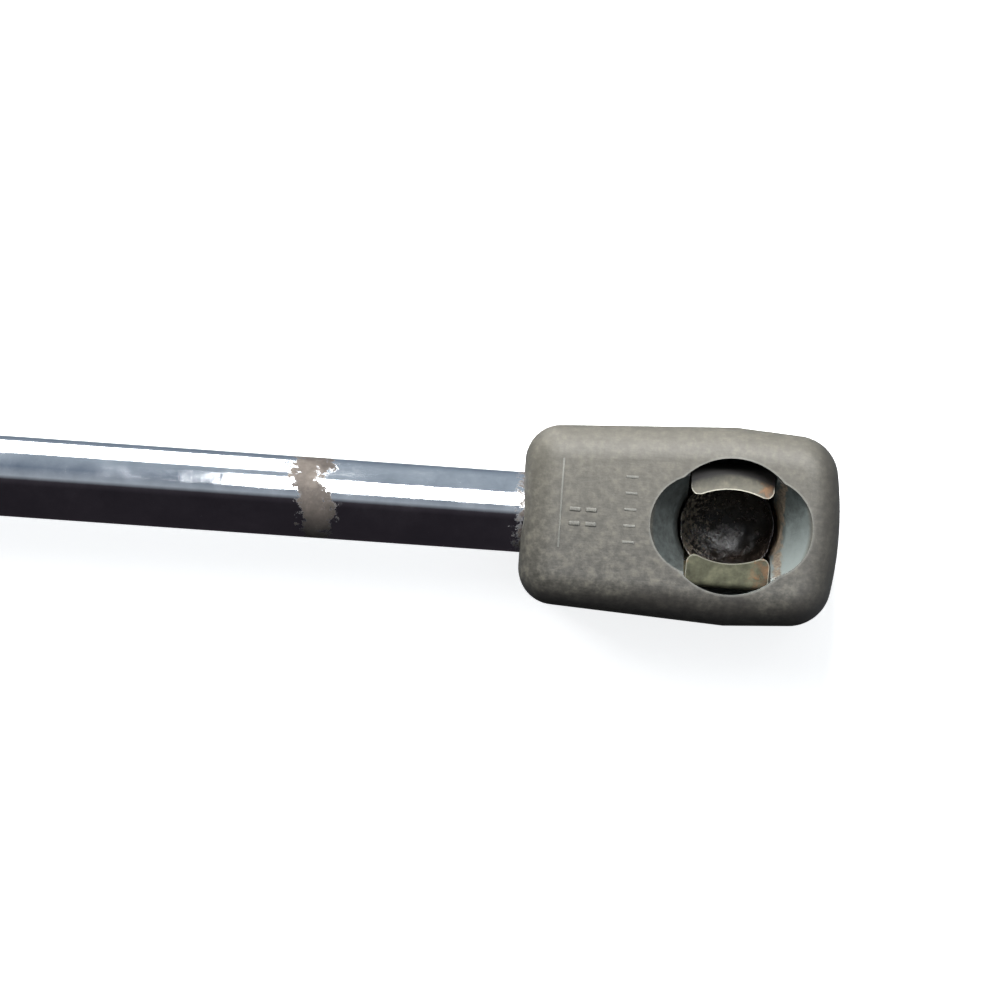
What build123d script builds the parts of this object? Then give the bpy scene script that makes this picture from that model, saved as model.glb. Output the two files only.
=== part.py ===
from build123d import *
import math
import os

os.makedirs("parts", exist_ok=True)

# A gas strut that holds a window open: a gas-filled tube, a sliding rod and a push-fit ball
# socket at each end. Millimetres. +X runs from the tube's socket to the rod's, and the
# sockets open upwards. The origin is the centre of the ball that the tube's socket holds.
# The strut is drawn fully extended.

# Overall sizes
ROD_D = 8.0
TUBE_D = 18.0
TUBE_WALL = 1.25
TUBE_LENGTH = 146.0
STROKE = 100.0
SHUT_GAP = 4.0

# Ball socket head, seen from its open face
BALL_D = 10.0
HEAD_REACH = 20.5
HEAD_NOSE = 10.8
HEAD_NECK_WIDTH = 17.4
HEAD_WIDTH = 19.6
HEAD_NOSE_WIDTH = 18.4
NOSE_BULGE = 1.2
HEAD_FACE = 6.2
HEAD_BACK = 9.0
NECK_CORNER_R = 3.5
NOSE_CORNER_R = 4.2
EDGE_R = 3.3

# Socket cavity in the head
SOCKET_GAP = 0.1
LAND_HALF = 1.0
THROAT_FLARE = 0.5
LOBE_DEPTH = 3.6
LOBE_R = 8.0
LOBE_HALF_WIDTH = 4.9
MOUTH_HALF_LENGTH = 5.0
MOUTH_DEPTH = 1.7
MOUTH_ROOM = 1.0
LEDGE_DROP = 0.2

# Spring clip bent from strip, one in each head. Its width is a share of the ball, so that
# enough of the cup is left beside it to hold the ball.
CLIP_SHARE = 0.82
CLIP_STRIP = 0.6
CLIP_SIDE_GAP = 0.2
CLIP_SPLIT_ANGLE = 45.0
CLIP_SPLIT_GAP = 0.12
ARM_LEAN = 8.0
ARM_ROOM = 2.3
FOLD_R = 0.6
LIP_BITE = 1.35
LIP_SAG = 0.75
LIP_RISE = 0.35
LIP_EDGE_R = 7.5
LIP_CORNER_R = 0.9

# Threads, drawn at their major diameter
THREAD_D = 8.0
THREAD_LENGTH = 11.0
THREAD_END = 0.8
BORE_SPARE = 0.6

# Tube ends
ROLL_R = 1.6
PLUG_LIP_R = 5.2
MOUTH_LIP_R = 5.2
BEAD_DEPTH = 0.8
BEAD_FLAT = 0.9
BEAD_SLOPE = 0.9
BEAD_R = 0.9
BEAD_SPARE = 0.25

# End plug
PLUG_LENGTH = 6.0
PLUG_COLLAR = 1.0
ORING_SECTION = 2.0
ORING_SPARE = 0.15
CORNER = 1.1

# Sealing pack at the tube's mouth, from the mouth inwards
GUIDE_LENGTH = 8.0
BUSH_LENGTH = 5.4
BUSH_WALL = 0.8
WIPER_LENGTH = 2.0
WIPER_R = 5.6
WIPER_LIP = 0.9
WASHER_LENGTH = 1.0
SEAL_LENGTH = 4.5
SEAL_LIP = 1.2
SEAL_HOLLOW = 2.4
SUPPORT_LENGTH = 1.5
LOOSE = 0.4

# Piston, on the rod's stepped tail
SLEEVE_LENGTH = 6.2
SLEEVE_R = 6.0
VALVE_LENGTH = 0.8
VALVE_R = 6.6
PISTON_LENGTH = 8.0
PISTON_SPARE = 0.4
RING_LENGTH = 3.2
RING_WALL = 1.65
BACKING_LENGTH = 1.0
BACKING_R = 5.5
TAIL_D = 5.0
RIVET_LENGTH = 1.2
RIVET_R = 3.6
ORIFICE_D = 1.0
ORIFICE_AT_R = 4.7

# Clearances
RUN = 0.05
FIT = 0.02
AXIAL = 0.1
STOP_GAP = 0.3
BIT = 0.3

# Places along the strut
TUBE_START = HEAD_REACH + PLUG_COLLAR
TUBE_END = TUBE_START + TUBE_LENGTH
ROD_FACE = TUBE_END + SHUT_GAP + STROKE
ROD_BALL = ROD_FACE + HEAD_REACH
BORE_R = TUBE_D / 2 - TUBE_WALL
ROD_R = ROD_D / 2
THREAD_R = THREAD_D / 2
CUP_R = BALL_D / 2 + SOCKET_GAP
THROAT_R = CUP_R + THROAT_FLARE
CLIP_WIDTH = BALL_D * CLIP_SHARE
CLIP_R = CUP_R + CLIP_STRIP
CLIP_MID_R = CUP_R + CLIP_STRIP / 2
LIP_EDGE = BALL_D / 2 - LIP_BITE
LIP_TIP = LIP_EDGE - LIP_SAG
MOUTH_R = CLIP_R + MOUTH_ROOM
POCKET_HALF_WIDTH = CLIP_R + ARM_ROOM
POCKET_LEDGE = CLIP_R * math.sin(math.radians(CLIP_SPLIT_ANGLE)) + LEDGE_DROP
PLUG_START = TUBE_START + TUBE_WALL
PLUG_END = PLUG_START + PLUG_LENGTH
GUIDE_END = TUBE_END - TUBE_WALL
GUIDE_START = GUIDE_END - GUIDE_LENGTH
WASHER_START = GUIDE_START - WASHER_LENGTH
SEAL_START = WASHER_START - SEAL_LENGTH
SUPPORT_START = SEAL_START - SUPPORT_LENGTH
BEAD_X = SUPPORT_START - BEAD_FLAT / 2 - BEAD_SLOPE
SLEEVE_END = SUPPORT_START - STOP_GAP
SLEEVE_START = SLEEVE_END - SLEEVE_LENGTH
VALVE_START = SLEEVE_START - VALVE_LENGTH
PISTON_START = VALVE_START - PISTON_LENGTH
BACKING_START = PISTON_START - BACKING_LENGTH


def turned(*points):
    """A part turned about the strut's axis from (along, radius) points."""
    return revolve(make_face(Polyline(*points, close=True)), Axis.X)


def ring(start, end, inner, outer, corner=0.0):
    """A plain ring, with its outer corners taken off where a corner is given."""
    if corner == 0:
        return turned((start, inner), (end, inner), (end, outer), (start, outer))
    return turned(
        (start, inner),
        (end, inner),
        (end, outer - corner),
        (end - corner, outer),
        (start + corner, outer),
        (start, outer - corner),
    )


def pressure_tube():
    """Drawn steel tube, its ends rolled in and a bead rolled behind the sealing pack."""
    mid = BORE_R + TUBE_WALL / 2
    half = TUBE_WALL / 2
    path = FilletPolyline(
        (TUBE_START + half, PLUG_LIP_R),
        (TUBE_START + half, mid),
        (BEAD_X - BEAD_FLAT / 2 - BEAD_SLOPE, mid),
        (BEAD_X - BEAD_FLAT / 2, mid - BEAD_DEPTH),
        (BEAD_X + BEAD_FLAT / 2, mid - BEAD_DEPTH),
        (BEAD_X + BEAD_FLAT / 2 + BEAD_SLOPE, mid),
        (TUBE_END - half, mid),
        (TUBE_END - half, MOUTH_LIP_R),
        radius=(ROLL_R, BEAD_R / 2, BEAD_R / 2, BEAD_R / 2, BEAD_R / 2, ROLL_R),
    )
    return revolve(trace(path, TUBE_WALL), Axis.X)


def end_plug():
    """Turned steel plug with an O-ring groove and the stud that the tube's head screws on to."""
    body = ring(PLUG_START, PLUG_END, 0, BORE_R - FIT, CORNER)
    collar_r = PLUG_LIP_R - FIT
    collar = ring(HEAD_REACH, PLUG_START, 0, collar_r)
    stud_tip = HEAD_REACH - THREAD_LENGTH
    stud = turned(
        (stud_tip, 0),
        (HEAD_REACH, 0),
        (HEAD_REACH, THREAD_R - FIT),
        (stud_tip + THREAD_END, THREAD_R - FIT),
        (stud_tip, THREAD_R - FIT - THREAD_END),
    )
    groove_half = ORING_SECTION / 2 + ORING_SPARE
    mid = (PLUG_START + PLUG_END) / 2
    groove = ring(mid - groove_half, mid + groove_half, BORE_R - 2 * FIT - ORING_SECTION, BORE_R)
    return body + collar + stud - groove


def end_plug_seal():
    """O-ring in the plug's groove."""
    mid = (PLUG_START + PLUG_END) / 2
    centre_r = BORE_R - FIT - ORING_SECTION / 2
    section = Pos(mid, centre_r) * Circle(ORING_SECTION / 2)
    return revolve(section, Axis.X)


def rod_guide():
    """Guide that centres the rod, bored for the bush and counterbored for the wiper."""
    body = ring(GUIDE_START, GUIDE_END, ROD_R + LOOSE, BORE_R - FIT, CORNER)
    bush_r = ROD_R + RUN + BUSH_WALL
    bush_seat = ring(GUIDE_START, GUIDE_START + BUSH_LENGTH, 0, bush_r + FIT)
    wiper_seat = ring(GUIDE_END - WIPER_LENGTH, GUIDE_END, 0, WIPER_R + FIT)
    return body - bush_seat - wiper_seat


def guide_bush():
    """Thin low-friction bush that the rod slides in."""
    inner = ROD_R + RUN
    return ring(GUIDE_START, GUIDE_START + BUSH_LENGTH, inner, inner + BUSH_WALL)


def wiper_ring():
    """Wiper at the mouth, with a lip that scrapes the rod as it goes in."""
    start = GUIDE_END - WIPER_LENGTH
    return turned(
        (start, ROD_R + LOOSE),
        (GUIDE_END - WIPER_LIP, ROD_R + RUN),
        (GUIDE_END, ROD_R + RUN),
        (GUIDE_END, ROD_R + LOOSE),
        (GUIDE_END, WIPER_R),
        (start, WIPER_R),
    )


def seal_washer():
    """Steel washer between the guide and the rubber seal."""
    return ring(WASHER_START, GUIDE_START, ROD_R + LOOSE, BORE_R - FIT)


def rod_seal():
    """Rubber lip seal, hollowed on the gas side so that the pressure closes its lips."""
    inner = ROD_R + RUN
    outer = BORE_R - FIT
    return turned(
        (SEAL_START, inner),
        (WASHER_START, inner),
        (WASHER_START, outer),
        (SEAL_START, outer),
        (SEAL_START, outer - SEAL_LIP),
        (SEAL_START + SEAL_HOLLOW, (inner + outer) / 2),
        (SEAL_START, inner + SEAL_LIP),
    )


def support_ring():
    """Ring that backs the seal and rests on the tube's bead."""
    outer = BORE_R - BEAD_SPARE
    return ring(SUPPORT_START, SEAL_START, ROD_R + LOOSE, outer, BEAD_SPARE)


def piston_rod():
    """Hard-chromed rod with a threaded end for the head and a riveted tail for the piston."""
    end = ROD_FACE + THREAD_LENGTH
    tail_r = TAIL_D / 2 - FIT
    return turned(
        (BACKING_START - RIVET_LENGTH, 0),
        (end, 0),
        (end, THREAD_R - FIT - THREAD_END),
        (end - THREAD_END, THREAD_R - FIT),
        (ROD_FACE, THREAD_R - FIT),
        (ROD_FACE, ROD_R),
        (SLEEVE_START, ROD_R),
        (SLEEVE_START, tail_r),
        (BACKING_START, tail_r),
        (BACKING_START, RIVET_R),
        (BACKING_START - RIVET_LENGTH / 2, RIVET_R),
        (BACKING_START - RIVET_LENGTH, RIVET_R / 2),
    )


def rebound_sleeve():
    """Sleeve on the rod that stops the piston at full reach."""
    return ring(SLEEVE_START, SLEEVE_END, ROD_R + FIT, SLEEVE_R, BIT)


def valve_disc():
    """Thin steel disc that part-covers the piston's orifice."""
    return ring(VALVE_START, SLEEVE_START, TAIL_D / 2, VALVE_R)


def piston():
    """Piston with a groove for its ring and one drilled orifice."""
    outer = BORE_R - PISTON_SPARE
    body = ring(PISTON_START, VALVE_START, TAIL_D / 2, outer, BIT)
    mid = (PISTON_START + VALVE_START) / 2
    half = RING_LENGTH / 2 + AXIAL
    groove = ring(mid - half, mid + half, BORE_R - RUN - RING_WALL - RUN, BORE_R)
    drill = Cylinder(ORIFICE_D / 2, 2 * PISTON_LENGTH, rotation=(0, 90, 0))
    return body - groove - Pos(mid, 0, ORIFICE_AT_R) * drill


def piston_ring():
    """Ring in the piston's groove that seals against the tube's bore."""
    mid = (PISTON_START + VALVE_START) / 2
    half = RING_LENGTH / 2
    outer = BORE_R - RUN
    return ring(mid - half, mid + half, outer - RING_WALL, outer)


def backing_washer():
    """Washer under the rod's riveted tail."""
    return ring(BACKING_START, PISTON_START, TAIL_D / 2, BACKING_R)


def head_blank():
    """Outside of a head: a slab that widens from its neck to the ball, with a bulged nose."""
    neck = HEAD_NECK_WIDTH / 2
    belly = HEAD_WIDTH / 2
    nose = HEAD_NOSE_WIDTH / 2
    nose_x = HEAD_NOSE - NOSE_BULGE
    sides = Polyline(
        (nose_x, nose),
        (0, belly),
        (-HEAD_REACH, neck),
        (-HEAD_REACH, -neck),
        (0, -belly),
        (nose_x, -nose),
    )
    outline = sides + ThreePointArc((nose_x, -nose), (HEAD_NOSE, 0), (nose_x, nose))
    slab = extrude(Pos(0, 0, -HEAD_BACK) * make_face(outline), HEAD_BACK + HEAD_FACE)
    uprights = slab.edges().filter_by(Axis.Z)
    slab = fillet(uprights.group_by(Axis.X)[0], NECK_CORNER_R)
    uprights = slab.edges().filter_by(Axis.Z)
    slab = fillet(uprights.group_by(Axis.X)[-1], NOSE_CORNER_R)
    rims = slab.faces().sort_by(Axis.Z)
    return fillet(rims[-1].edges() + rims[0].edges(), EDGE_R)


def head_cavity():
    """Room for the ball, the clip and the clip's arms as they spring apart."""
    above = HEAD_FACE + BIT
    cup = Pos(0, 0, -LAND_HALF) * Sphere(CUP_R)
    land = Cylinder(CUP_R, 2 * LAND_HALF)
    throat_end = HEAD_FACE - LOBE_DEPTH
    throat = Pos(0, 0, (LAND_HALF + throat_end) / 2) * Cone(CUP_R, THROAT_R, throat_end - LAND_HALF)
    lobe = Pos(0, 0, HEAD_FACE - LOBE_DEPTH / 2) * Cone(THROAT_R, LOBE_R, LOBE_DEPTH)
    lobe = lobe & extrude(SlotOverall(2 * LOBE_R, 2 * LOBE_HALF_WIDTH), above)
    mouth_height = MOUTH_DEPTH + BIT
    mouth = Cylinder(MOUTH_R, mouth_height) & Box(2 * MOUTH_HALF_LENGTH, 2 * MOUTH_R, mouth_height)
    mouth = Pos(0, 0, above - mouth_height / 2) * mouth
    slot_width = CLIP_WIDTH + 2 * CLIP_SIDE_GAP
    bed = Cylinder(CLIP_R + FIT, slot_width, rotation=(0, 90, 0))
    pocket_height = POCKET_LEDGE + HEAD_FACE - MOUTH_DEPTH
    pocket = Box(slot_width, 2 * POCKET_HALF_WIDTH, pocket_height)
    pocket = Pos(0, 0, pocket_height / 2 - POCKET_LEDGE) * pocket
    return cup + land + throat + lobe + mouth + bed + pocket


def head():
    """Moulded ball socket, drawn about its ball with its neck towards -X."""
    bore_length = THREAD_LENGTH + BORE_SPARE
    bore = Cylinder(THREAD_R, bore_length, rotation=(0, 90, 0))
    bore = Pos(bore_length / 2 - HEAD_REACH, 0, 0) * bore
    return head_blank() - head_cavity() - bore


def on_clip(radius, angle):
    """A point on the clip's end view, at an angle up from +Y."""
    return (radius * math.cos(math.radians(angle)), radius * math.sin(math.radians(angle)))


def clip_band(start_angle, end_angle):
    """A length of the clip's strip, wrapped round the ball between two angles up from +Y."""
    sweep = end_angle - start_angle
    outline = (
        CenterArc((0, 0), CLIP_R, start_angle, sweep)
        + Line(on_clip(CLIP_R, start_angle), on_clip(CUP_R, start_angle))
        + CenterArc((0, 0), CUP_R, start_angle, sweep)
        + Line(on_clip(CUP_R, end_angle), on_clip(CLIP_R, end_angle))
    )
    return extrude(Plane.YZ * make_face(outline), CLIP_WIDTH / 2, both=True)


def clip_base():
    """Bottom of the clip, which lies under the ball."""
    return clip_band(-180 + CLIP_SPLIT_ANGLE, -CLIP_SPLIT_ANGLE)


def clip_lip():
    """Plan of the arm's top: square sides, rounded corners and a hollow for the stud's neck."""
    reach = 2 * CLIP_R
    plan = Pos(0, LIP_TIP + reach / 2) * Rectangle(CLIP_WIDTH, reach)
    plan = fillet(plan.vertices().group_by(Axis.Y)[0], LIP_CORNER_R)
    return plan - Pos(0, LIP_EDGE - LIP_EDGE_R) * Circle(LIP_EDGE_R)


def clip_arm():
    """The clip's arm on the +Y side. It leans out above the ball and folds in to a rising lip."""
    gap_angle = math.degrees(CLIP_SPLIT_GAP / CLIP_MID_R)
    start = gap_angle - CLIP_SPLIT_ANGLE
    hug = CenterArc((0, 0), CLIP_MID_R, start, -ARM_LEAN - start)
    foot = on_clip(CLIP_MID_R, -ARM_LEAN)
    edge_z = math.sqrt(CUP_R**2 - LIP_EDGE**2) + CLIP_STRIP / 2
    lean = math.tan(math.radians(ARM_LEAN))
    level = edge_z + LIP_RISE * LIP_EDGE
    fold_y = (foot[0] + lean * (level - foot[1])) / (1 + lean * LIP_RISE)
    fold = (fold_y, level - LIP_RISE * fold_y)
    tip = (LIP_TIP, level - LIP_RISE * LIP_TIP)
    path = hug + FilletPolyline(foot, fold, tip, radius=FOLD_R)
    arm = extrude(Plane.YZ * trace(path, CLIP_STRIP), CLIP_WIDTH / 2, both=True)
    tall = 2 * HEAD_FACE
    around = Pos(0, 0, tall / 2) * Box(4 * CLIP_R, 4 * CLIP_R, tall)
    return arm - (around - extrude(clip_lip(), tall))


def export(shape, node):
    export_step(shape, f"parts/{node}.step")


# The tube and what is fixed in it
export(pressure_tube(), "pressure_tube")
export(end_plug(), "end_plug")
export(end_plug_seal(), "end_plug_seal")
export(rod_guide(), "rod_guide")
export(guide_bush(), "guide_bush")
export(wiper_ring(), "wiper_ring")
export(seal_washer(), "seal_washer")
export(rod_seal(), "rod_seal")
export(support_ring(), "support_ring")

# The rod and what it carries
export(piston_rod(), "piston_rod")
export(rebound_sleeve(), "rebound_sleeve")
export(valve_disc(), "valve_disc")
export(piston(), "piston")
export(piston_ring(), "piston_ring")
export(backing_washer(), "backing_washer")

# A head and its clip at each end: the rod's neck points back along -X, the tube's along +X
for end_name, place in (("rod", Pos(ROD_BALL, 0, 0)), ("tube", Rot(0, 0, 180))):
    export(place * head(), f"{end_name}_end_socket")
    export(place * clip_base(), f"{end_name}_clip_base")
    export(place * clip_arm(), f"{end_name}_clip_arm_a")
    export(place * (Rot(0, 0, 180) * clip_arm()), f"{end_name}_clip_arm_b")
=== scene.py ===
import math
import bpy
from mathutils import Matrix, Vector


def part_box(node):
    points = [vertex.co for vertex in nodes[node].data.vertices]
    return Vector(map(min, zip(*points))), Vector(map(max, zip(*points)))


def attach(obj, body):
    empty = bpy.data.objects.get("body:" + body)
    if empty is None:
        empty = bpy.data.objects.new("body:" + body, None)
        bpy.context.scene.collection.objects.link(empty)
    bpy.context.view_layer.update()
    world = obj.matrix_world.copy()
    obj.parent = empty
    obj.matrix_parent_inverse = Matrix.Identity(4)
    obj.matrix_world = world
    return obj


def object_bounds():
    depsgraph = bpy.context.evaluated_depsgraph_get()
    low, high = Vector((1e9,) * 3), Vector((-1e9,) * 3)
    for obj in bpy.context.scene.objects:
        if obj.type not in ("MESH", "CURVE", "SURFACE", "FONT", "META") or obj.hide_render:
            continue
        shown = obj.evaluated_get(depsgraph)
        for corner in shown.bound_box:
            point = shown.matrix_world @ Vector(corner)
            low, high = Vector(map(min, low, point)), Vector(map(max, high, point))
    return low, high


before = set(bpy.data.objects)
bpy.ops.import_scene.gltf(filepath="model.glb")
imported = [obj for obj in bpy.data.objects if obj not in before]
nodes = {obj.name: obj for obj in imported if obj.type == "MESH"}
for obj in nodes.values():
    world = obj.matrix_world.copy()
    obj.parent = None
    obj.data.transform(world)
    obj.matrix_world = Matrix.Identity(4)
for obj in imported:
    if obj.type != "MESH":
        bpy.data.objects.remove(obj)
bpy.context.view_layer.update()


# ---------------------------------------------------------------- ball socket heads
# Each head is one injection moulding of black nylon 66 filled with short glass fibre. Years of
# sun have bleached its skin to a chalky grey, so fibres show as fine pale streaks. The hollows
# are bluer and painted darker as shade. It screws on to a threaded end.
rod_low, rod_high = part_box("rod_end_socket")
tube_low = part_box("tube_end_socket")[0]
HEAD_NOSE = 0.0108
HEAD_FACE = rod_high.z
ROD_BALL_X = rod_high.x - HEAD_NOSE
TUBE_BALL_X = tube_low.x + HEAD_NOSE
HOLLOW_R = 0.0080
HOLLOW_NARROWING = 1.2
RUST_RUN_X = 0.0049
NYLON_IOR = 1.53


def shade(hex_colour):
    """An sRGB hex colour as the linear RGBA that a socket takes."""
    parts = [int(hex_colour[i:i + 2], 16) / 255 for i in (0, 2, 4)]
    return [p / 12.92 if p <= 0.04045 else ((p + 0.055) / 1.055) ** 2.4 for p in parts] + [1.0]


def add(tree, kind, inputs={}, stops=(), **settings):
    """Adds a node with its settings, its ramp stops and its inputs, each a value or a socket."""
    made = tree.nodes.new(kind)
    for name, value in settings.items():
        setattr(made, name, value)
    for place, (at, colour) in enumerate(stops):
        ramp = made.color_ramp.elements
        stop = ramp[place] if place < 2 else ramp.new(at)
        stop.position = at
        stop.color = shade(colour)
    for name, value in inputs.items():
        if isinstance(value, bpy.types.NodeSocket):
            tree.links.new(value, made.inputs[name])
        else:
            made.inputs[name].default_value = value
    return made


def new_finish(name):
    """An empty material: its node tree, its shader and the object's own coordinates."""
    finish = bpy.data.materials.new(name)
    finish.use_nodes = True
    tree = finish.node_tree
    shader = tree.nodes["Principled BSDF"]
    place = add(tree, "ShaderNodeTexCoord")
    return finish, tree, shader, place.outputs["Object"]


def finish_cad(node, finish):
    """Puts a finish in every slot of a CAD node."""
    for slot in nodes[node].material_slots:
        slot.material = finish


def bleached_nylon(name, ball_x, turn):
    """Moulded glass-filled nylon: chalky grey skin, pale fibre streaks, blue-grey hollows; painted shade in
    the hollows and on the -Y edge, painted light on the +Y side and edges.
    """
    finish, tree, shader, where = new_finish(name)
    local = add(tree, "ShaderNodeMapping",
                {"Vector": where, "Location": (-ball_x * math.cos(turn), 0, 0), "Rotation": (0, 0, turn)})
    local = local.outputs[0]
    axes = add(tree, "ShaderNodeSeparateXYZ", {0: local})
    # soft clouds 4 mm across, chalky mottling 0.4 to 0.8 mm across
    cloud = add(tree, "ShaderNodeTexNoise", {"Vector": local, "Scale": 240, "Detail": 3, "Roughness": 0.5})
    blotch = add(tree, "ShaderNodeTexNoise",
                 {"Vector": local, "Scale": 1150, "Detail": 6, "Roughness": 0.68})
    # short fibres about 0.25 mm apart, drawn out along the flow of the melt
    flow = add(tree, "ShaderNodeMapping",
               {"Vector": local, "Scale": (0.35, 1.5, 1.0), "Rotation": (0, 0, 0.12)})
    fibre = add(tree, "ShaderNodeTexNoise",
                {"Vector": flow.outputs[0], "Scale": 3600, "Detail": 4, "Roughness": 0.7})
    skin = add(tree, "ShaderNodeValToRGB", {"Fac": blotch.outputs["Fac"]},
               stops=((0.37, "343129"), (0.66, "7b776b"), (0.5, "54514a")))
    drift = add(tree, "ShaderNodeValToRGB", {"Fac": cloud.outputs["Fac"]},
                stops=((0.35, "706c66"), (0.65, "8f8d87")))
    clouded = add(tree, "ShaderNodeMix", {0: 0.5, 6: skin.outputs[0], 7: drift.outputs[0]},
                  data_type="RGBA", blend_type="OVERLAY")
    streaks = add(tree, "ShaderNodeValToRGB", {"Fac": fibre.outputs["Fac"]},
                  stops=((0.35, "403f3b"), (0.72, "747269")))
    body = add(tree, "ShaderNodeMix", {0: 0.22, 6: clouded.outputs[2], 7: streaks.outputs[0]},
               data_type="RGBA")
    # painted light: the +Y side, which the lights come from, is painted paler
    painted_light_side = add(tree, "ShaderNodeMapRange", {0: axes.outputs["Y"], 1: -0.006, 2: 0.009, 3: 0.0, 4: 0.45})
    body = add(tree, "ShaderNodeMix", {0: painted_light_side.outputs[0], 6: body.outputs[2], 7: shade("807c70")},
               data_type="RGBA")
    # the nose is darker and browner from 7 mm past the ball outwards
    nose_darkening = add(tree, "ShaderNodeMapRange", {0: axes.outputs["X"], 1: 0.0062, 2: 0.0092, 3: -0.35, 4: 0.2})
    nose_darkening = add(tree, "ShaderNodeMath", {0: nose_darkening.outputs[0], 1: cloud.outputs["Fac"]}, operation="ADD")
    nose_darkening = add(tree, "ShaderNodeMapRange", {0: nose_darkening.outputs[0], 1: 0.3, 2: 0.65, 3: 0.0, 4: 0.6})
    nose = add(tree, "ShaderNodeMix", {0: nose_darkening.outputs[0], 6: body.outputs[2], 7: shade("38342f")},
               data_type="RGBA")
    # painted shade: the -Y edge, turned away from the lights, is painted dark in patches from 6 mm out
    low_edge = add(tree, "ShaderNodeMapRange",
                   {0: axes.outputs["Y"], 1: -0.0058, 2: -0.0085, 3: -0.25, 4: 0.2})
    patchy = add(tree, "ShaderNodeMath", {0: low_edge.outputs[0], 1: cloud.outputs["Fac"]}, operation="ADD")
    painted_shade_low_edge = add(tree, "ShaderNodeMapRange", {0: patchy.outputs[0], 1: 0.36, 2: 0.66, 3: 0.0, 4: 0.7})
    low_edge_shaded = add(tree, "ShaderNodeMix", {0: painted_shade_low_edge.outputs[0], 6: nose.outputs[2], 7: shade("26221f")},
                 data_type="RGBA")
    # inside the socket's hollow, an oval 16 by 13.4 mm under the face, the skin is bluer and painted darker
    # as shade
    flat = add(tree, "ShaderNodeVectorMath", {0: local, 1: (1, HOLLOW_NARROWING, 0)}, operation="MULTIPLY")
    reach = add(tree, "ShaderNodeVectorMath", {0: flat.outputs[0]}, operation="LENGTH")
    inside = add(tree, "ShaderNodeMapRange",
                 {0: reach.outputs["Value"], 1: HOLLOW_R, 2: HOLLOW_R + 0.0003, 3: 1.0, 4: 0.0})
    under = add(tree, "ShaderNodeMapRange",
                {0: axes.outputs["Z"], 1: HEAD_FACE - 0.0007, 2: HEAD_FACE - 0.0001, 3: 1.0, 4: 0.0})
    hollow = add(tree, "ShaderNodeMath", {0: inside.outputs[0], 1: under.outputs[0]}, operation="MULTIPLY")
    hollow_skin_and_shade = add(tree, "ShaderNodeValToRGB", {"Fac": blotch.outputs["Fac"]},
                      stops=((0.35, "3b403e"), (0.65, "5b6260")))
    # painted light: the hollow is painted paler towards its +X, -Y corner, where the light falls on the lobe
    slant = add(tree, "ShaderNodeMath", {0: axes.outputs["X"], 1: axes.outputs["Y"]}, operation="SUBTRACT")
    painted_light_in_lobe = add(tree, "ShaderNodeMapRange", {0: slant.outputs[0], 1: 0.0045, 2: 0.0095, 3: 0.0, 4: 0.8})
    hollow_skin_and_shade = add(tree, "ShaderNodeMix",
                      {0: painted_light_in_lobe.outputs[0], 6: hollow_skin_and_shade.outputs[0], 7: shade("8c9491")},
                      data_type="RGBA")
    toned = add(tree, "ShaderNodeMix",
                {0: hollow.outputs[0], 6: low_edge_shaded.outputs[2], 7: hollow_skin_and_shade.outputs[2]}, data_type="RGBA")
    # grease and grit darken the cup itself
    depth = add(tree, "ShaderNodeMapRange", {0: axes.outputs["Z"], 1: 0.0005, 2: 0.0024, 3: 1.0, 4: 0.0})
    cup_reach = add(tree, "ShaderNodeMapRange",
                    {0: reach.outputs["Value"], 1: 0.0060, 2: 0.0085, 3: 1.0, 4: 0.0})
    greased = add(tree, "ShaderNodeMath", {0: depth.outputs[0], 1: cup_reach.outputs[0]},
                  operation="MULTIPLY")
    coloured = add(tree, "ShaderNodeMix", {0: greased.outputs[0], 6: toned.outputs[2], 7: shade("17130f")},
                   data_type="RGBA")
    # rust has run from the clip down the hollow's side, 4 to 5.8 mm along from the ball
    beside = add(tree, "ShaderNodeMath", {0: axes.outputs["X"], 1: RUST_RUN_X}, operation="SUBTRACT")
    beside = add(tree, "ShaderNodeMath", {0: beside.outputs[0]}, operation="ABSOLUTE")
    run = add(tree, "ShaderNodeMapRange", {0: beside.outputs[0], 1: 0.0002, 2: 0.0009, 3: 0.14, 4: -0.3})
    run = add(tree, "ShaderNodeMath", {0: run.outputs[0], 1: blotch.outputs["Fac"]}, operation="ADD")
    run = add(tree, "ShaderNodeMapRange", {0: run.outputs[0], 1: 0.46, 2: 0.6, 3: 0.0, 4: 0.85})
    run = add(tree, "ShaderNodeMath", {0: run.outputs[0], 1: hollow.outputs[0]}, operation="MULTIPLY")
    run_tone = add(tree, "ShaderNodeValToRGB", {"Fac": fibre.outputs["Fac"]},
                   stops=((0.35, "544538"), (0.7, "968672")))
    coloured = add(tree, "ShaderNodeMix",
                   {0: run.outputs[0], 6: coloured.outputs[2], 7: run_tone.outputs[0]}, data_type="RGBA")
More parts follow.
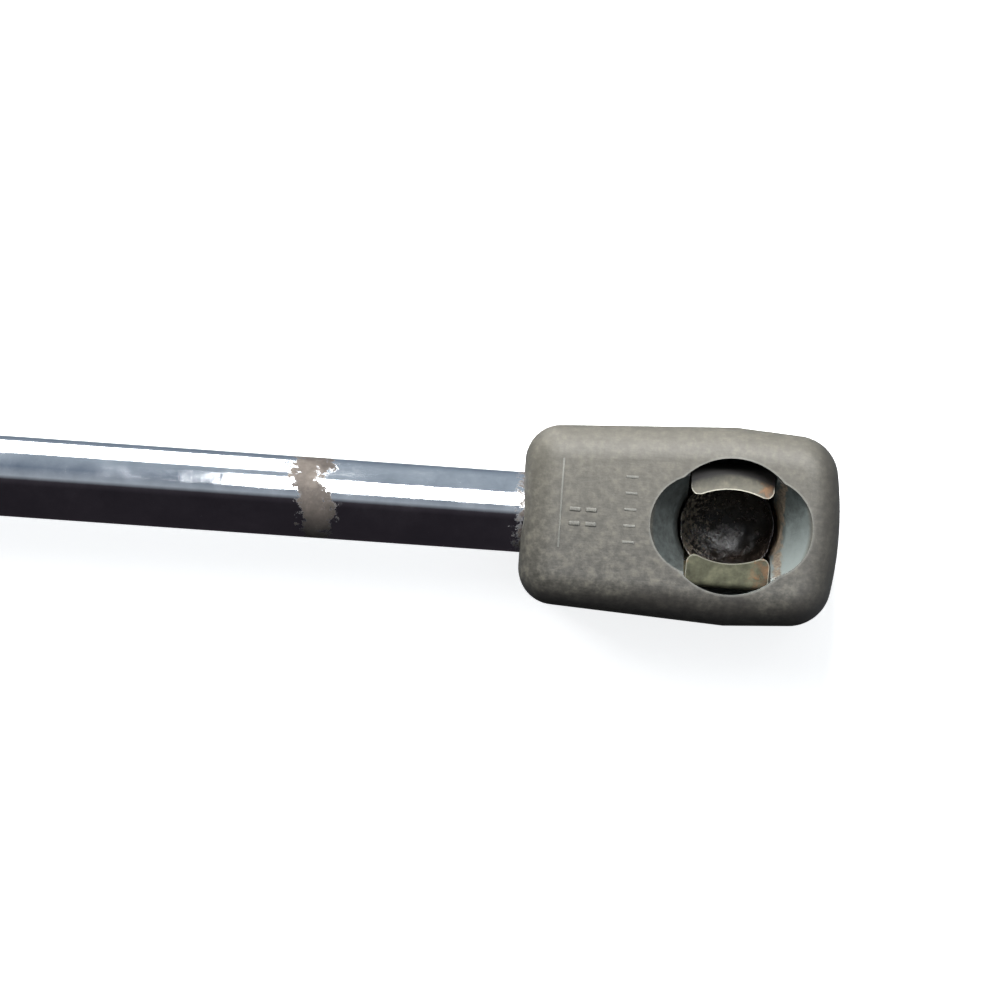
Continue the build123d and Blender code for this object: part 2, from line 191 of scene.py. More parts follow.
    # edges are painted paler: partly rubbed wear, partly a painted highlight
    rounded = add(tree, "ShaderNodeBevel", {"Radius": 0.0005}, samples=6)
    true = add(tree, "ShaderNodeNewGeometry")
    along = add(tree, "ShaderNodeVectorMath", {0: rounded.outputs[0], 1: true.outputs["Normal"]},
                operation="DOT_PRODUCT")
    rubbed_and_highlit = add(tree, "ShaderNodeMapRange", {0: along.outputs["Value"], 1: 0.99, 2: 0.85, 3: 0.0, 4: 0.45})
    worn_and_highlit = add(tree, "ShaderNodeMix", {0: rubbed_and_highlit.outputs[0], 6: coloured.outputs[2], 7: shade("9a9b95")},
               data_type="RGBA")
    rough = add(tree, "ShaderNodeMapRange", {0: greased.outputs[0], 3: 0.62, 4: 0.3})
    pores = add(tree, "ShaderNodeBump",
                {"Height": fibre.outputs["Fac"], "Strength": 0.3, "Distance": 0.00005})
    lumps = add(tree, "ShaderNodeBump",
                {"Height": blotch.outputs["Fac"], "Strength": 0.35, "Distance": 0.00008,
                 "Normal": pores.outputs[0]})
    tree.links.new(worn_and_highlit.outputs[2], shader.inputs["Base Color"])
    tree.links.new(rough.outputs[0], shader.inputs["Roughness"])
    tree.links.new(lumps.outputs[0], shader.inputs["Normal"])
    shader.inputs["IOR"].default_value = NYLON_IOR
    return finish


# The mould leaves worn raised marks on the face between the ball and the neck: a step line,
# a plain two by two group of bars and a faint row of dashes. Each mark has its place from the
# ball, its length, its width and its height.
STEP_LINE = (-0.0168, 0.0012, 0.00022, 0.0088, 0.00007)
GROUP_X, GROUP_SPREAD_X, GROUP_SPREAD_Y = -0.0146, 0.0008, 0.0007
BAR = (0.0011, 0.00042, 0.00012)
ROW_X, ROW_FIRST_Y, ROW_PITCH, ROW_COUNT = -0.0100, -0.0022, 0.0016, 5
DASH = (0.0012, 0.00026, 0.00006)
MARKS = [STEP_LINE]
MARKS += [(GROUP_X + GROUP_SPREAD_X * across, GROUP_SPREAD_Y * up, *BAR)
          for across in (-1, 1) for up in (-1, 1)]
MARKS += [(ROW_X, ROW_FIRST_Y + ROW_PITCH * place, *DASH) for place in range(ROW_COUNT)]
for end, body, ball_x, way in (("rod", "rod", ROD_BALL_X, 1), ("tube", "barrel", TUBE_BALL_X, -1)):
    turn = 0.0 if way == 1 else math.pi
    nylon = bleached_nylon(f"Glass-filled nylon, moulded, sun-bleached ({end} end)", ball_x, turn)
    finish_cad(f"{end}_end_socket", nylon)
    bars = []
    for x, y, length, width, height in MARKS:
        bpy.ops.object.select_all(action="DESELECT")
        centre = (ball_x + way * x, way * y, HEAD_FACE)
        bpy.ops.mesh.primitive_cube_add(size=1, location=centre, scale=(length, width, 2 * height))
        bpy.ops.object.transform_apply(location=True, rotation=True, scale=True)
        worn_and_highlit = bpy.context.object.modifiers.new("worn_and_highlit", "BEVEL")
        worn_and_highlit.width = 0.8 * height
        worn_and_highlit.segments = 3
        bpy.ops.object.modifier_apply(modifier="worn_and_highlit")
        bars.append(bpy.context.object)
    for bar in bars:
        bar.select_set(True)
    bpy.context.view_layer.objects.active = bars[0]
    bpy.ops.object.join()
    marks = bpy.context.object
    marks.name = f"{end}_mould_marks"
    bpy.ops.object.shade_smooth()
    marks.data.materials.append(nylon)
    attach(marks, body)


# ---------------------------------------------------------------- spring clips
# A strip of spring steel bent round the ball, its two lips folded in over it. It was zinc
# plated and passivated, which has dulled to a greenish beige, and rust has started where the
# strip was sheared, at its corners.
LIP_EDGE_Y = 0.00365
LIP_ARC_R = 0.0075
LIP_ARC_Y = LIP_ARC_R - LIP_EDGE_Y


def dulled_spring_steel(name, ball_x):
    """Plated spring strip: satin greenish grey with its +Y half painted darker as shade, grease film on the
    -Y lip, a painted rim shadow and painted edge highlights, rust at its corners.
    """
    finish, tree, shader, where = new_finish(name)
    local = add(tree, "ShaderNodeMapping", {"Vector": where, "Location": (-ball_x, 0, 0)}).outputs[0]
    axes = add(tree, "ShaderNodeSeparateXYZ", {0: local})
    cloud = add(tree, "ShaderNodeTexNoise", {"Vector": local, "Scale": 900, "Detail": 6, "Roughness": 0.6})
    # rolling lines 0.1 mm apart, across the strip's bend
    lines = add(tree, "ShaderNodeMapping", {"Vector": local, "Scale": (3.0, 0.25, 0.25)})
    rolled = add(tree, "ShaderNodeTexNoise", {"Vector": lines.outputs[0], "Scale": 3000, "Detail": 2})
    plate_and_shade = add(tree, "ShaderNodeValToRGB", {"Fac": cloud.outputs["Fac"]},
                stops=((0.3, "3c392e"), (0.7, "646050"), (0.5, "4d4a3d")))
    # the strip's -Y half is greener and paler under a film of dried grease, and its +Y half, with its lip,
    # is painted darker as shade
    film = add(tree, "ShaderNodeMapRange", {0: axes.outputs["Y"], 1: 0.001, 2: -0.001})
    lip_film_and_shade_tone = add(tree, "ShaderNodeValToRGB", {"Fac": cloud.outputs["Fac"]},
                    stops=((0.3, "4c4c3c"), (0.7, "85846c"), (0.5, "686854")))
    plate_and_shade = add(tree, "ShaderNodeMix", {0: film.outputs[0], 6: plate_and_shade.outputs[0], 7: lip_film_and_shade_tone.outputs[0]},
                data_type="RGBA")
    # rust spreads from the strip's side edges, 4.1 mm from its middle, most at the +X side
    near_side = add(tree, "ShaderNodeMapRange",
                    {0: axes.outputs["X"], 1: 0.0008, 2: 0.0040, 3: -0.3, 4: 0.14})
    far_side = add(tree, "ShaderNodeMapRange",
                   {0: axes.outputs["X"], 1: -0.0034, 2: -0.0043, 3: -0.3, 4: 0.06})
    side = add(tree, "ShaderNodeMath", {0: near_side.outputs[0], 1: far_side.outputs[0]},
               operation="MAXIMUM")
    patch = add(tree, "ShaderNodeTexNoise",
                {"Vector": local, "Scale": 900, "Detail": 8, "Roughness": 0.7, "Distortion": 0.6})
    rusty = add(tree, "ShaderNodeMath", {0: patch.outputs["Fac"], 1: side.outputs[0]}, operation="ADD")
    rust = add(tree, "ShaderNodeMapRange", {0: rusty.outputs[0], 1: 0.44, 2: 0.62, 3: 0.0, 4: 0.8})
    rust_tone = add(tree, "ShaderNodeValToRGB", {"Fac": patch.outputs["Fac"]},
                    stops=((0.4, "4d3626"), (0.62, "8b6646")))
    coloured = add(tree, "ShaderNodeMix", {0: rust.outputs[0], 6: plate_and_shade.outputs[2], 7: rust_tone.outputs[0]},
                   data_type="RGBA")
    # painted shadow: the mouth's rim shades the +Y lip, painted near black outside an arc 1.35 mm from its
    # edge
    from_arc = add(tree, "ShaderNodeVectorMath", {0: local, 1: (0, -LIP_ARC_Y, 0)}, operation="SUBTRACT")
    from_arc = add(tree, "ShaderNodeVectorMath", {0: from_arc.outputs[0], 1: (1, 1, 0)},
                   operation="MULTIPLY")
    from_arc = add(tree, "ShaderNodeVectorMath", {0: from_arc.outputs[0]}, operation="LENGTH")
    behind = add(tree, "ShaderNodeMapRange",
                 {0: from_arc.outputs["Value"], 1: LIP_ARC_R + 0.00125, 2: LIP_ARC_R + 0.0016})
    painted_rim_shadow = add(tree, "ShaderNodeMath", {0: 1.0, 1: film.outputs[0]}, operation="SUBTRACT")
    painted_rim_shadow = add(tree, "ShaderNodeMath", {0: painted_rim_shadow.outputs[0], 1: behind.outputs[0]}, operation="MULTIPLY")
    coloured = add(tree, "ShaderNodeMix", {0: painted_rim_shadow.outputs[0], 6: coloured.outputs[2], 7: shade("1f1916")},
                   data_type="RGBA")
    # painted highlight: sheared edges are painted bright where the light catches them
    rounded = add(tree, "ShaderNodeBevel", {"Radius": 0.0002}, samples=6)
    true = add(tree, "ShaderNodeNewGeometry")
    along = add(tree, "ShaderNodeVectorMath", {0: rounded.outputs[0], 1: true.outputs["Normal"]},
                operation="DOT_PRODUCT")
    rubbed_and_highlit = add(tree, "ShaderNodeMapRange", {0: along.outputs["Value"], 1: 0.99, 2: 0.9, 3: 0.0, 4: 0.8})
    rubbed_and_highlit = add(tree, "ShaderNodeMath", {0: rubbed_and_highlit.outputs[0], 1: painted_rim_shadow.outputs[0]}, operation="SUBTRACT",
                 use_clamp=True)
    worn_and_highlit = add(tree, "ShaderNodeMix", {0: rubbed_and_highlit.outputs[0], 6: coloured.outputs[2], 7: shade("c9c6b6")},
               data_type="RGBA")
    metal = add(tree, "ShaderNodeMapRange", {0: rust.outputs[0], 3: 0.2, 4: 0.0})
    rough = add(tree, "ShaderNodeMapRange", {0: rust.outputs[0], 3: 0.6, 4: 0.85})
    grain = add(tree, "ShaderNodeBump",
                {"Height": rolled.outputs["Fac"], "Strength": 0.2, "Distance": 0.00002})
    pits = add(tree, "ShaderNodeBump",
               {"Height": rust.outputs[0], "Strength": 0.4, "Distance": 0.00005, "Normal": grain.outputs[0]})
    tree.links.new(worn_and_highlit.outputs[2], shader.inputs["Base Color"])
    tree.links.new(metal.outputs[0], shader.inputs["Metallic"])
    tree.links.new(rough.outputs[0], shader.inputs["Roughness"])
    tree.links.new(pits.outputs[0], shader.inputs["Normal"])
    return finish


for end, ball_x in (("rod", ROD_BALL_X), ("tube", TUBE_BALL_X)):
    strip = dulled_spring_steel(f"Spring steel, zinc plated, dulled and rust-freckled ({end} end)", ball_x)
    for part in ("clip_base", "clip_arm_a", "clip_arm_b"):
        finish_cad(f"{end}_{part}", strip)


# ---------------------------------------------------------------- piston rod
# Carbon steel, centreless ground and hard chromed to a mirror. Dust has set into a brown tide
# mark about 20 mm from the head, where the wiper has stood with the strut partly open.
HEAD_NECK_X = rod_low.x
TIDE_MARK_X = HEAD_NECK_X - 0.0206
finish, tree, shader, where = new_finish("Hard chrome on ground steel, with a dried dirt tide mark")
axes = add(tree, "ShaderNodeSeparateXYZ", {0: where})
# grinding lines run round the rod, drawn 0.15 mm apart so that they show
turns = add(tree, "ShaderNodeMapping", {"Vector": where, "Scale": (1.0, 0.02, 0.02)})
ground = add(tree, "ShaderNodeTexNoise", {"Vector": turns.outputs[0], "Scale": 7000, "Detail": 3})
smear = add(tree, "ShaderNodeTexNoise", {"Vector": where, "Scale": 260, "Detail": 7, "Roughness": 0.65})
grit = add(tree, "ShaderNodeTexNoise", {"Vector": where, "Scale": 1500, "Detail": 8, "Roughness": 0.75})
# the tide mark is densest in its middle and ragged out to 3 mm each side
wander = add(tree, "ShaderNodeMapRange", {0: smear.outputs["Fac"], 1: 0.3, 2: 0.7, 3: -0.0016, 4: 0.0016})
middle = add(tree, "ShaderNodeMath", {0: axes.outputs["X"], 1: TIDE_MARK_X}, operation="SUBTRACT")
middle = add(tree, "ShaderNodeMath", {0: middle.outputs[0], 1: wander.outputs[0]}, operation="ADD")
away = add(tree, "ShaderNodeMath", {0: middle.outputs[0]}, operation="ABSOLUTE")
band = add(tree, "ShaderNodeMapRange", {0: away.outputs[0], 1: 0.0003, 2: 0.0029, 3: 0.2, 4: -0.3})
ragged = add(tree, "ShaderNodeMath", {0: grit.outputs["Fac"], 1: band.outputs[0]}, operation="ADD")
tide = add(tree, "ShaderNodeMapRange", {0: ragged.outputs[0], 1: 0.44, 2: 0.54})
# dirt packed against the head's neck
near_neck = add(tree, "ShaderNodeMapRange",
                {0: axes.outputs["X"], 1: HEAD_NECK_X - 0.0022, 2: HEAD_NECK_X, 3: -0.3, 4: 0.04})
neck_sum = add(tree, "ShaderNodeMath", {0: grit.outputs["Fac"], 1: near_neck.outputs[0]}, operation="ADD")
neck_dirt = add(tree, "ShaderNodeMapRange", {0: neck_sum.outputs[0], 1: 0.46, 2: 0.66, 3: 0.0, 4: 0.8})
# stray specks anywhere
specks = add(tree, "ShaderNodeMapRange", {0: grit.outputs["Fac"], 1: 0.7, 2: 0.78, 3: 0.0, 4: 0.6})
dirt = add(tree, "ShaderNodeMath", {0: tide.outputs[0], 1: neck_dirt.outputs[0]}, operation="MAXIMUM")
dirt = add(tree, "ShaderNodeMath", {0: dirt.outputs[0], 1: specks.outputs[0]}, operation="MAXIMUM")
cover = add(tree, "ShaderNodeMapRange", {0: dirt.outputs[0], 2: 0.35})
dirt_tone = add(tree, "ShaderNodeValToRGB", {"Fac": smear.outputs["Fac"]},
                stops=((0.35, "39332e"), (0.7, "7c736a"), (0.52, "574f49")))
metal_tone = add(tree, "ShaderNodeValToRGB", {"Fac": smear.outputs["Fac"]},
                 stops=((0.3, "c3c6cb"), (0.7, "dfe1e4")))
coloured = add(tree, "ShaderNodeMix",
               {0: cover.outputs[0], 6: metal_tone.outputs[0], 7: dirt_tone.outputs[0]}, data_type="RGBA")
metal = add(tree, "ShaderNodeMapRange", {0: cover.outputs[0], 3: 1.0, 4: 0.0})
film = add(tree, "ShaderNodeMapRange", {0: smear.outputs["Fac"], 1: 0.35, 2: 0.75, 3: 0.04, 4: 0.13})
rough = add(tree, "ShaderNodeMix", {0: dirt.outputs[0], 2: film.outputs[0], 3: 0.8})
lathe = add(tree, "ShaderNodeBump", {"Height": ground.outputs["Fac"], "Strength": 0.14, "Distance": 0.00001})
crust = add(tree, "ShaderNodeBump",
            {"Height": dirt.outputs[0], "Strength": 0.25, "Distance": 0.00002, "Normal": lathe.outputs[0]})
tree.links.new(coloured.outputs[2], shader.inputs["Base Color"])
tree.links.new(metal.outputs[0], shader.inputs["Metallic"])
tree.links.new(rough.outputs[0], shader.inputs["Roughness"])
tree.links.new(crust.outputs[0], shader.inputs["Normal"])
finish_cad("piston_rod", finish)


# ---------------------------------------------------------------- pressure tube
# Cold drawn steel tube, its ends rolled in over the plug and the guide, stove enamelled black
# after assembly. The enamel has a faint orange peel, rub marks, and is chipped at the rolled
# edges down to grey steel.
finish, tree, shader, where = new_finish("Black stove enamel on drawn steel, rubbed")
peel = add(tree, "ShaderNodeTexNoise", {"Vector": where, "Scale": 900, "Detail": 3})
cloud = add(tree, "ShaderNodeTexNoise", {"Vector": where, "Scale": 120, "Detail": 8, "Roughness": 0.65})
# long scratches 0.1 mm wide, mostly along the tube
stretched = add(tree, "ShaderNodeMapping",
                {"Vector": where, "Scale": (0.03, 1.0, 1.0), "Rotation": (0.1, 0.05, 0.04)})
scratch = add(tree, "ShaderNodeTexNoise",
              {"Vector": stretched.outputs[0], "Scale": 2600, "Detail": 4, "Roughness": 0.6})
scratched = add(tree, "ShaderNodeMapRange", {0: scratch.outputs["Fac"], 1: 0.66, 2: 0.7, 3: 0.0, 4: 0.5})
rounded = add(tree, "ShaderNodeBevel", {"Radius": 0.0012}, samples=6)
true = add(tree, "ShaderNodeNewGeometry")
along = add(tree, "ShaderNodeVectorMath", {0: rounded.outputs[0], 1: true.outputs["Normal"]},
            operation="DOT_PRODUCT")
edge = add(tree, "ShaderNodeMapRange", {0: along.outputs["Value"], 1: 0.995, 2: 0.9, 3: -0.2, 4: 0.25})
chips = add(tree, "ShaderNodeMath", {0: edge.outputs[0], 1: cloud.outputs["Fac"]}, operation="ADD")
chipped = add(tree, "ShaderNodeMapRange", {0: chips.outputs[0], 1: 0.62, 2: 0.66})
enamel = add(tree, "ShaderNodeValToRGB", {"Fac": cloud.outputs["Fac"]},
             stops=((0.3, "121213"), (0.7, "262627")))
rubbed_and_highlit = add(tree, "ShaderNodeMix", {0: scratched.outputs[0], 6: enamel.outputs[0], 7: shade("4a4a4a")},
             data_type="RGBA")
coloured = add(tree, "ShaderNodeMix", {0: chipped.outputs[0], 6: rubbed_and_highlit.outputs[2], 7: shade("77746e")},
               data_type="RGBA")
metal = add(tree, "ShaderNodeMapRange", {0: chipped.outputs[0], 3: 0.0, 4: 1.0})
rough = add(tree, "ShaderNodeMapRange", {0: cloud.outputs["Fac"], 1: 0.3, 2: 0.7, 3: 0.24, 4: 0.42})
skin = add(tree, "ShaderNodeBump", {"Height": peel.outputs["Fac"], "Strength": 0.15, "Distance": 0.00004})
cut = add(tree, "ShaderNodeBump",
          {"Height": scratched.outputs[0], "Strength": 0.3, "Distance": 0.00002, "Normal": skin.outputs[0]},
          invert=True)
tree.links.new(coloured.outputs[2], shader.inputs["Base Color"])
tree.links.new(metal.outputs[0], shader.inputs["Metallic"])
tree.links.new(rough.outputs[0], shader.inputs["Roughness"])
tree.links.new(cut.outputs[0], shader.inputs["Normal"])
shader.inputs["Coat Weight"].default_value = 0.25
shader.inputs["Coat Roughness"].default_value = 0.2
finish_cad("pressure_tube", finish)


# ---------------------------------------------------------------- turned and pressed steel inside
# The plug, the washers, the disc and the support ring are turned or pressed from mild steel and
# left bright, with lathe lines round them and a thin film of oil.
finish, tree, shader, where = new_finish("Mild steel, turned, oiled")
turns = add(tree, "ShaderNodeMapping", {"Vector": where, "Scale": (1.0, 0.03, 0.03)})
lathe = add(tree, "ShaderNodeTexNoise", {"Vector": turns.outputs[0], "Scale": 5000, "Detail": 3})
stain = add(tree, "ShaderNodeTexNoise", {"Vector": where, "Scale": 300, "Detail": 6})
tone = add(tree, "ShaderNodeValToRGB", {"Fac": stain.outputs["Fac"]},
           stops=((0.3, "8b8a86"), (0.7, "b9b8b4")))
rough = add(tree, "ShaderNodeMapRange", {0: stain.outputs["Fac"], 1: 0.3, 2: 0.7, 3: 0.22, 4: 0.4})
lines = add(tree, "ShaderNodeBump", {"Height": lathe.outputs["Fac"], "Strength": 0.3, "Distance": 0.00003})
tree.links.new(tone.outputs[0], shader.inputs["Base Color"])
tree.links.new(rough.outputs[0], shader.inputs["Roughness"])
tree.links.new(lines.outputs[0], shader.inputs["Normal"])
shader.inputs["Metallic"].default_value = 1.0
for part in ("end_plug", "seal_washer", "support_ring", "valve_disc", "backing_washer"):
    finish_cad(part, finish)


# ---------------------------------------------------------------- piston
# The piston is a zinc die casting with a fine granular skin and one drilled hole, held on the
# rod's stepped tail by the riveted end.
finish, tree, shader, where = new_finish("Zinc, die-cast")
grain = add(tree, "ShaderNodeTexVoronoi", {"Vector": where, "Scale": 2200})
cloud = add(tree, "ShaderNodeTexNoise", {"Vector": where, "Scale": 350, "Detail": 5})
tone = add(tree, "ShaderNodeValToRGB", {"Fac": cloud.outputs["Fac"]},
           stops=((0.3, "8d8f92"), (0.7, "b0b2b4")))
skin = add(tree, "ShaderNodeBump",
           {"Height": grain.outputs["Distance"], "Strength": 0.2, "Distance": 0.00003})
tree.links.new(tone.outputs[0], shader.inputs["Base Color"])
tree.links.new(skin.outputs[0], shader.inputs["Normal"])
shader.inputs["Metallic"].default_value = 1.0
shader.inputs["Roughness"].default_value = 0.48
finish_cad("piston", finish)


# ---------------------------------------------------------------- plastic rings and guide
# The guide and the stop sleeve are moulded in natural acetal, waxy and off-white. The piston's
# ring is a filled fluoropolymer, near black and slippery.
for name, dark, light, parts in (
    ("Acetal, moulded, waxy", "b9b3a2", "d6d1c3", ("rod_guide", "rebound_sleeve")),
    ("Filled fluoropolymer, turned", "1b1b1c", "303031", ("piston_ring",)),
):
    finish, tree, shader, where = new_finish(name)
    cloud = add(tree, "ShaderNodeTexNoise", {"Vector": where, "Scale": 400, "Detail": 5})
    fine = add(tree, "ShaderNodeTexNoise", {"Vector": where, "Scale": 3500, "Detail": 2})
    tone = add(tree, "ShaderNodeValToRGB", {"Fac": cloud.outputs["Fac"]}, stops=((0.3, dark), (0.7, light)))
    rough = add(tree, "ShaderNodeMapRange", {0: cloud.outputs["Fac"], 1: 0.3, 2: 0.7, 3: 0.35, 4: 0.5})
    skin = add(tree, "ShaderNodeBump",
               {"Height": fine.outputs["Fac"], "Strength": 0.15, "Distance": 0.00003})
    tree.links.new(tone.outputs[0], shader.inputs["Base Color"])
    tree.links.new(rough.outputs[0], shader.inputs["Roughness"])
    tree.links.new(skin.outputs[0], shader.inputs["Normal"])
    for part in parts:
        finish_cad(part, finish)


# ---------------------------------------------------------------- rubber seals
# The O-ring, the lip seal and the wiper are moulded in black nitrile rubber. They sit in their
# grooves unglued, wetted by the strut's oil.
finish, tree, shader, where = new_finish("Nitrile rubber, moulded, oily")
cloud = add(tree, "ShaderNodeTexNoise", {"Vector": where, "Scale": 500, "Detail": 5})
tone = add(tree, "ShaderNodeValToRGB", {"Fac": cloud.outputs["Fac"]},
           stops=((0.3, "141414"), (0.7, "242424")))
rough = add(tree, "ShaderNodeMapRange", {0: cloud.outputs["Fac"], 1: 0.3, 2: 0.7, 3: 0.35, 4: 0.65})
skin = add(tree, "ShaderNodeBump", {"Height": cloud.outputs["Fac"], "Strength": 0.2, "Distance": 0.00004})
tree.links.new(tone.outputs[0], shader.inputs["Base Color"])
tree.links.new(rough.outputs[0], shader.inputs["Roughness"])
tree.links.new(skin.outputs[0], shader.inputs["Normal"])
for part in ("end_plug_seal", "rod_seal", "wiper_ring"):
    finish_cad(part, finish)


# ---------------------------------------------------------------- guide bush
# The bush is bronze strip rolled to a ring and pressed into the guide. It is warm and dull
# under its film of oil.
finish, tree, shader, where = new_finish("Bronze, rolled, oiled")
cloud = add(tree, "ShaderNodeTexNoise", {"Vector": where, "Scale": 450, "Detail": 6})
tone = add(tree, "ShaderNodeValToRGB", {"Fac": cloud.outputs["Fac"]},
           stops=((0.3, "7a5a35"), (0.7, "b08a55")))
rough = add(tree, "ShaderNodeMapRange", {0: cloud.outputs["Fac"], 1: 0.3, 2: 0.7, 3: 0.3, 4: 0.5})
tree.links.new(tone.outputs[0], shader.inputs["Base Color"])
tree.links.new(rough.outputs[0], shader.inputs["Roughness"])
shader.inputs["Metallic"].default_value = 1.0
finish_cad("guide_bush", finish)


# ---------------------------------------------------------------- grease in the sockets
# Grease that the ball has pressed into its own shape lines the bottom of each cup. It has gone
# black with dirt, glossy where the ball sat and gritty towards its edge.
GREASE_R = 0.00492
GREASE_TOP = -0.0012
CLOT_SIZE = 0.0016
CLOT_SWELL = 0.0005
FILM = 0.00012
GREASE_IOR = 1.48


def old_grease(name, ball_x):
    """Dirty grease: wet black, lumpy, with pale grit where it has been pushed aside."""
    finish, tree, shader, where = new_finish(name)
    clot = add(tree, "ShaderNodeTexNoise", {"Vector": where, "Scale": 900, "Detail": 8, "Roughness": 0.7})
    grit = add(tree, "ShaderNodeTexNoise", {"Vector": where, "Scale": 2200, "Detail": 6, "Roughness": 0.75})
    axes = add(tree, "ShaderNodeSeparateXYZ", {0: where})
    tone = add(tree, "ShaderNodeValToRGB", {"Fac": clot.outputs["Fac"]},
               stops=((0.42, "15110e"), (0.76, "5e5349"), (0.62, "2a231e")))
    # grit up to 0.4 mm across, thickest on the side nearer the tube
    pushed = add(tree, "ShaderNodeMapRange",
                 {0: axes.outputs["X"], 1: ball_x + 0.0005, 2: ball_x - 0.0035, 3: -0.16, 4: 0.02})
    crumbs = add(tree, "ShaderNodeMath", {0: grit.outputs["Fac"], 1: pushed.outputs[0]}, operation="ADD")
    crumbs = add(tree, "ShaderNodeMapRange", {0: crumbs.outputs[0], 1: 0.48, 2: 0.56})
    coloured = add(tree, "ShaderNodeMix", {0: crumbs.outputs[0], 6: tone.outputs[0], 7: shade("8f8577")},
                   data_type="RGBA")
    rough = add(tree, "ShaderNodeMapRange", {0: clot.outputs["Fac"], 1: 0.45, 2: 0.7, 3: 0.1, 4: 0.45})
    ripple = add(tree, "ShaderNodeBump",
                 {"Height": clot.outputs["Fac"], "Strength": 0.7, "Distance": 0.0003})
    grains = add(tree, "ShaderNodeBump",
                 {"Height": crumbs.outputs[0], "Strength": 0.5, "Distance": 0.0001,
                  "Normal": ripple.outputs[0]})
    tree.links.new(coloured.outputs[2], shader.inputs["Base Color"])
    tree.links.new(rough.outputs[0], shader.inputs["Roughness"])
    tree.links.new(grains.outputs[0], shader.inputs["Normal"])
    shader.inputs["IOR"].default_value = GREASE_IOR
    return finish


for end, ball_x, body in (("rod", ROD_BALL_X, "rod"), ("tube", TUBE_BALL_X, "barrel")):
    bpy.ops.object.select_all(action="DESELECT")
    bpy.ops.mesh.primitive_uv_sphere_add(segments=96, ring_count=64, radius=GREASE_R,
                                         location=(ball_x, 0, 0))
    cup = bpy.context.object
    cup.name = f"{end}_cup_grease"
    bpy.ops.object.mode_set(mode="EDIT")
    bpy.ops.mesh.select_all(action="SELECT")
    bpy.ops.mesh.bisect(plane_co=(ball_x, 0, GREASE_TOP), plane_no=(0, 0, 1), clear_outer=True)
    bpy.ops.object.mode_set(mode="OBJECT")
    bpy.ops.object.transform_apply(location=True, rotation=True, scale=True)
    clots = bpy.data.textures.new(f"{end} grease clots", "CLOUDS")
    clots.noise_scale = CLOT_SIZE
    clots.noise_depth = 4
    swell = cup.modifiers.new("clots", "DISPLACE")
    swell.texture = clots
    swell.texture_coords = "LOCAL"
    swell.strength = -CLOT_SWELL
    swell.mid_level = 0.35
    wall = cup.modifiers.new("film", "SOLIDIFY")
    wall.thickness = FILM
    wall.offset = -1
    for modifier in ("clots", "film"):
        bpy.ops.object.modifier_apply(modifier=modifier)
    bpy.ops.object.shade_smooth()
    cup.data.materials.append(old_grease(f"Old grease, black with dirt, ball-pressed ({end} end)", ball_x))
    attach(cup, body)


# ---------------------------------------------------------------- studio
# The strut lies on a pale lit table. A soft key and a window light it from beyond its +Y side.
# A softbox and two cards stand where only glossy surfaces mirror them, the smaller card in the cup.
FLOOR_SIZE = 6
floor_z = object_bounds()[0][2]
bpy.ops.object.select_all(action="DESELECT")
bpy.ops.mesh.primitive_plane_add(size=FLOOR_SIZE, location=(ROD_BALL_X, 0, floor_z))
floor = bpy.context.object
floor.name = "studio_floor"
finish, tree, shader, where = new_finish("Pale lit table")
shader.inputs["Base Color"].default_value = shade("f4f4f3")
shader.inputs["Roughness"].default_value = 0.95
shader.inputs["Emission Color"].default_value = shade("ffffff")
shader.inputs["Emission Strength"].default_value = 0.75
floor.data.materials.append(finish)
floor.visible_glossy = False
floor.visible_diffuse = False

for name, place, aim, size, power, by_diffuse, by_glossy in (
    ("key", (ROD_BALL_X - 0.05, 0.205, 0.235), (ROD_BALL_X, 0, 0), (0.08, 0.08), 1.3, True, False),
    ("cup_card", (ROD_BALL_X + 0.13, 0.15, 0.3), (ROD_BALL_X, 0, 0), (0.06, 0.06), 1.2, False, True),
    ("softbox", (ROD_BALL_X - 0.006, 0.187, 0.25), (ROD_BALL_X - 0.006, 0, 0), (0.12, 0.2), 1.7, False,
     True),
    ("side_window", (ROD_BALL_X - 0.26, 0.2, 0.3), (ROD_BALL_X, 0, 0), (0.2, 0.2), 0.8, True, False),
    ("low_card", (ROD_BALL_X - 0.19, 0.34, -0.05), (ROD_BALL_X - 0.19, 0, 0), (0.25, 0.34), 2.2, False,
     True),
):
    lamp = bpy.data.lights.new(name, "AREA")
    lamp.shape = "RECTANGLE"
    lamp.size, lamp.size_y = size
    lamp.energy = power
    holder = bpy.data.objects.new(name, lamp)
    bpy.context.scene.collection.objects.link(holder)
    holder.location = place
    holder.rotation_euler = (Vector(aim) - Vector(place)).to_track_quat("-Z", "Y").to_euler()
    holder.visible_camera = False
    holder.visible_diffuse = by_diffuse
    holder.visible_glossy = by_glossy

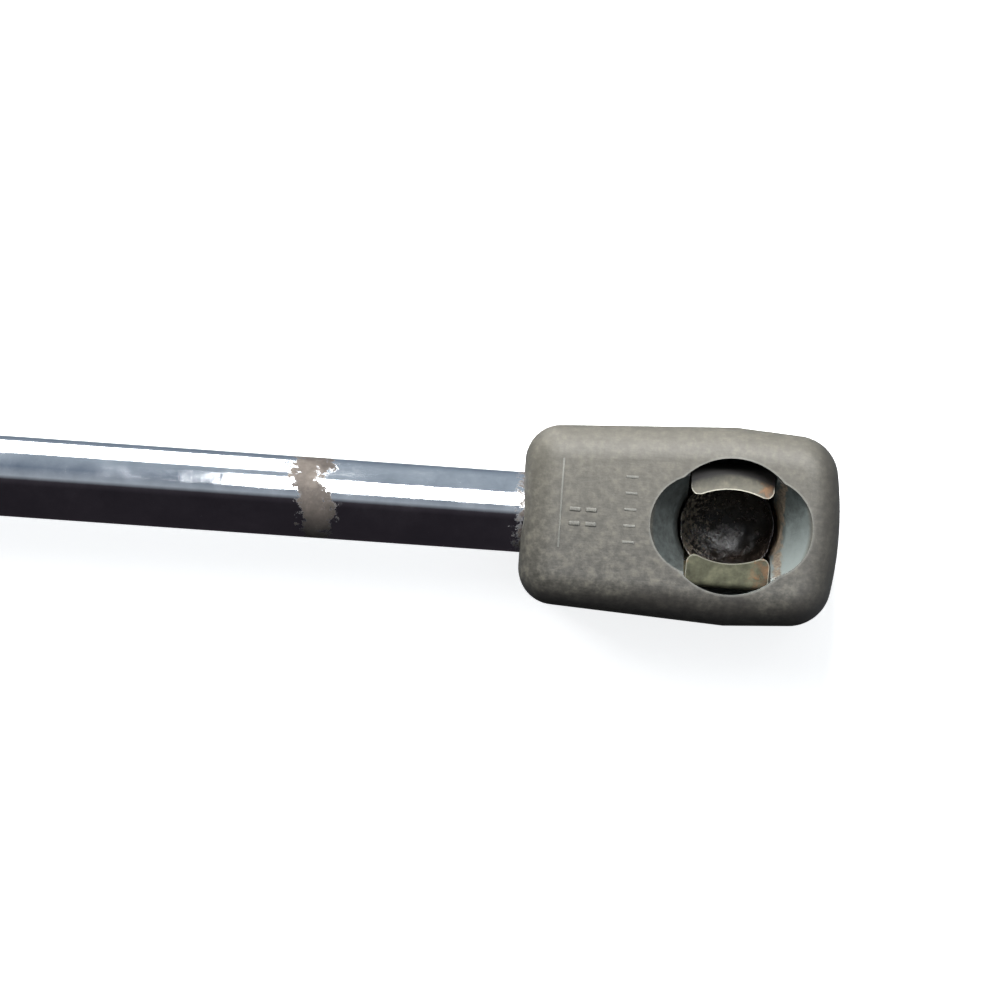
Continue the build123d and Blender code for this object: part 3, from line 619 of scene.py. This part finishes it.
# mirrors see a room that is blue-grey on its +Y side and dark on its -Y side
world = bpy.data.worlds.new("studio")
bpy.context.scene.world = world
world.use_nodes = True
tree = world.node_tree
back = tree.nodes["Background"]
way = add(tree, "ShaderNodeTexCoord")
axes = add(tree, "ShaderNodeSeparateXYZ", {0: way.outputs["Generated"]})
lit_side = add(tree, "ShaderNodeMapRange", {0: axes.outputs["Y"], 1: -1.0, 2: 1.0})
mirrored = add(tree, "ShaderNodeValToRGB", {"Fac": lit_side.outputs[0]},
               stops=((0.3, "2a262b"), (0.97, "b3bfca"), (0.43, "3c373d"), (0.53, "b0b8c0"),
                      (0.75, "7e8b9b")))
# its end walls are pale
endways = add(tree, "ShaderNodeMath", {0: axes.outputs["X"]}, operation="ABSOLUTE")
wall = add(tree, "ShaderNodeMapRange", {0: endways.outputs[0], 1: 0.36, 2: 0.62, 3: 0.0, 4: 0.85})
mirrored = add(tree, "ShaderNodeMix", {0: wall.outputs[0], 6: mirrored.outputs[0], 7: shade("b4babf")},
               data_type="RGBA")
# every other surface gets a fill that is brightest from above its +Y side
spread = add(tree, "ShaderNodeMath", {0: lit_side.outputs[0], 1: axes.outputs["Z"]}, operation="ADD")
fill = add(tree, "ShaderNodeValToRGB", {"Fac": spread.outputs[0]}, stops=((0.1, "34363a"), (1.0, "8b9196")))
ray = add(tree, "ShaderNodeLightPath")
seen = add(tree, "ShaderNodeMix",
           {0: ray.outputs["Is Glossy Ray"], 6: fill.outputs[0], 7: mirrored.outputs[2]}, data_type="RGBA")
tree.links.new(seen.outputs[2], back.inputs["Color"])
back.inputs["Strength"].default_value = 1.0

# the camera looks straight down into the rod's socket, turned so that the rod falls to the right
CAMERA_HEIGHT = 0.40
VIEW_WIDTH = 0.09938
SENSOR_MM = 36
TURN = math.radians(4.0)
BALL_RIGHT, BALL_UP = 0.02266, -0.00263
across = Vector((math.cos(TURN), math.sin(TURN), 0))
upward = Vector((-math.sin(TURN), math.cos(TURN), 0))
lens = bpy.data.cameras.new("camera")
camera = bpy.data.objects.new("camera", lens)
bpy.context.scene.collection.objects.link(camera)
camera.location = Vector((ROD_BALL_X, 0, CAMERA_HEIGHT)) - across * BALL_RIGHT - upward * BALL_UP
camera.rotation_euler = (0, 0, TURN)
lens.sensor_width = SENSOR_MM
lens.lens = SENSOR_MM * CAMERA_HEIGHT / VIEW_WIDTH
lens.clip_start = 0.005
bpy.context.scene.camera = camera
bpy.context.scene.view_settings.view_transform = "Standard"

bpy.context.view_layer.update()
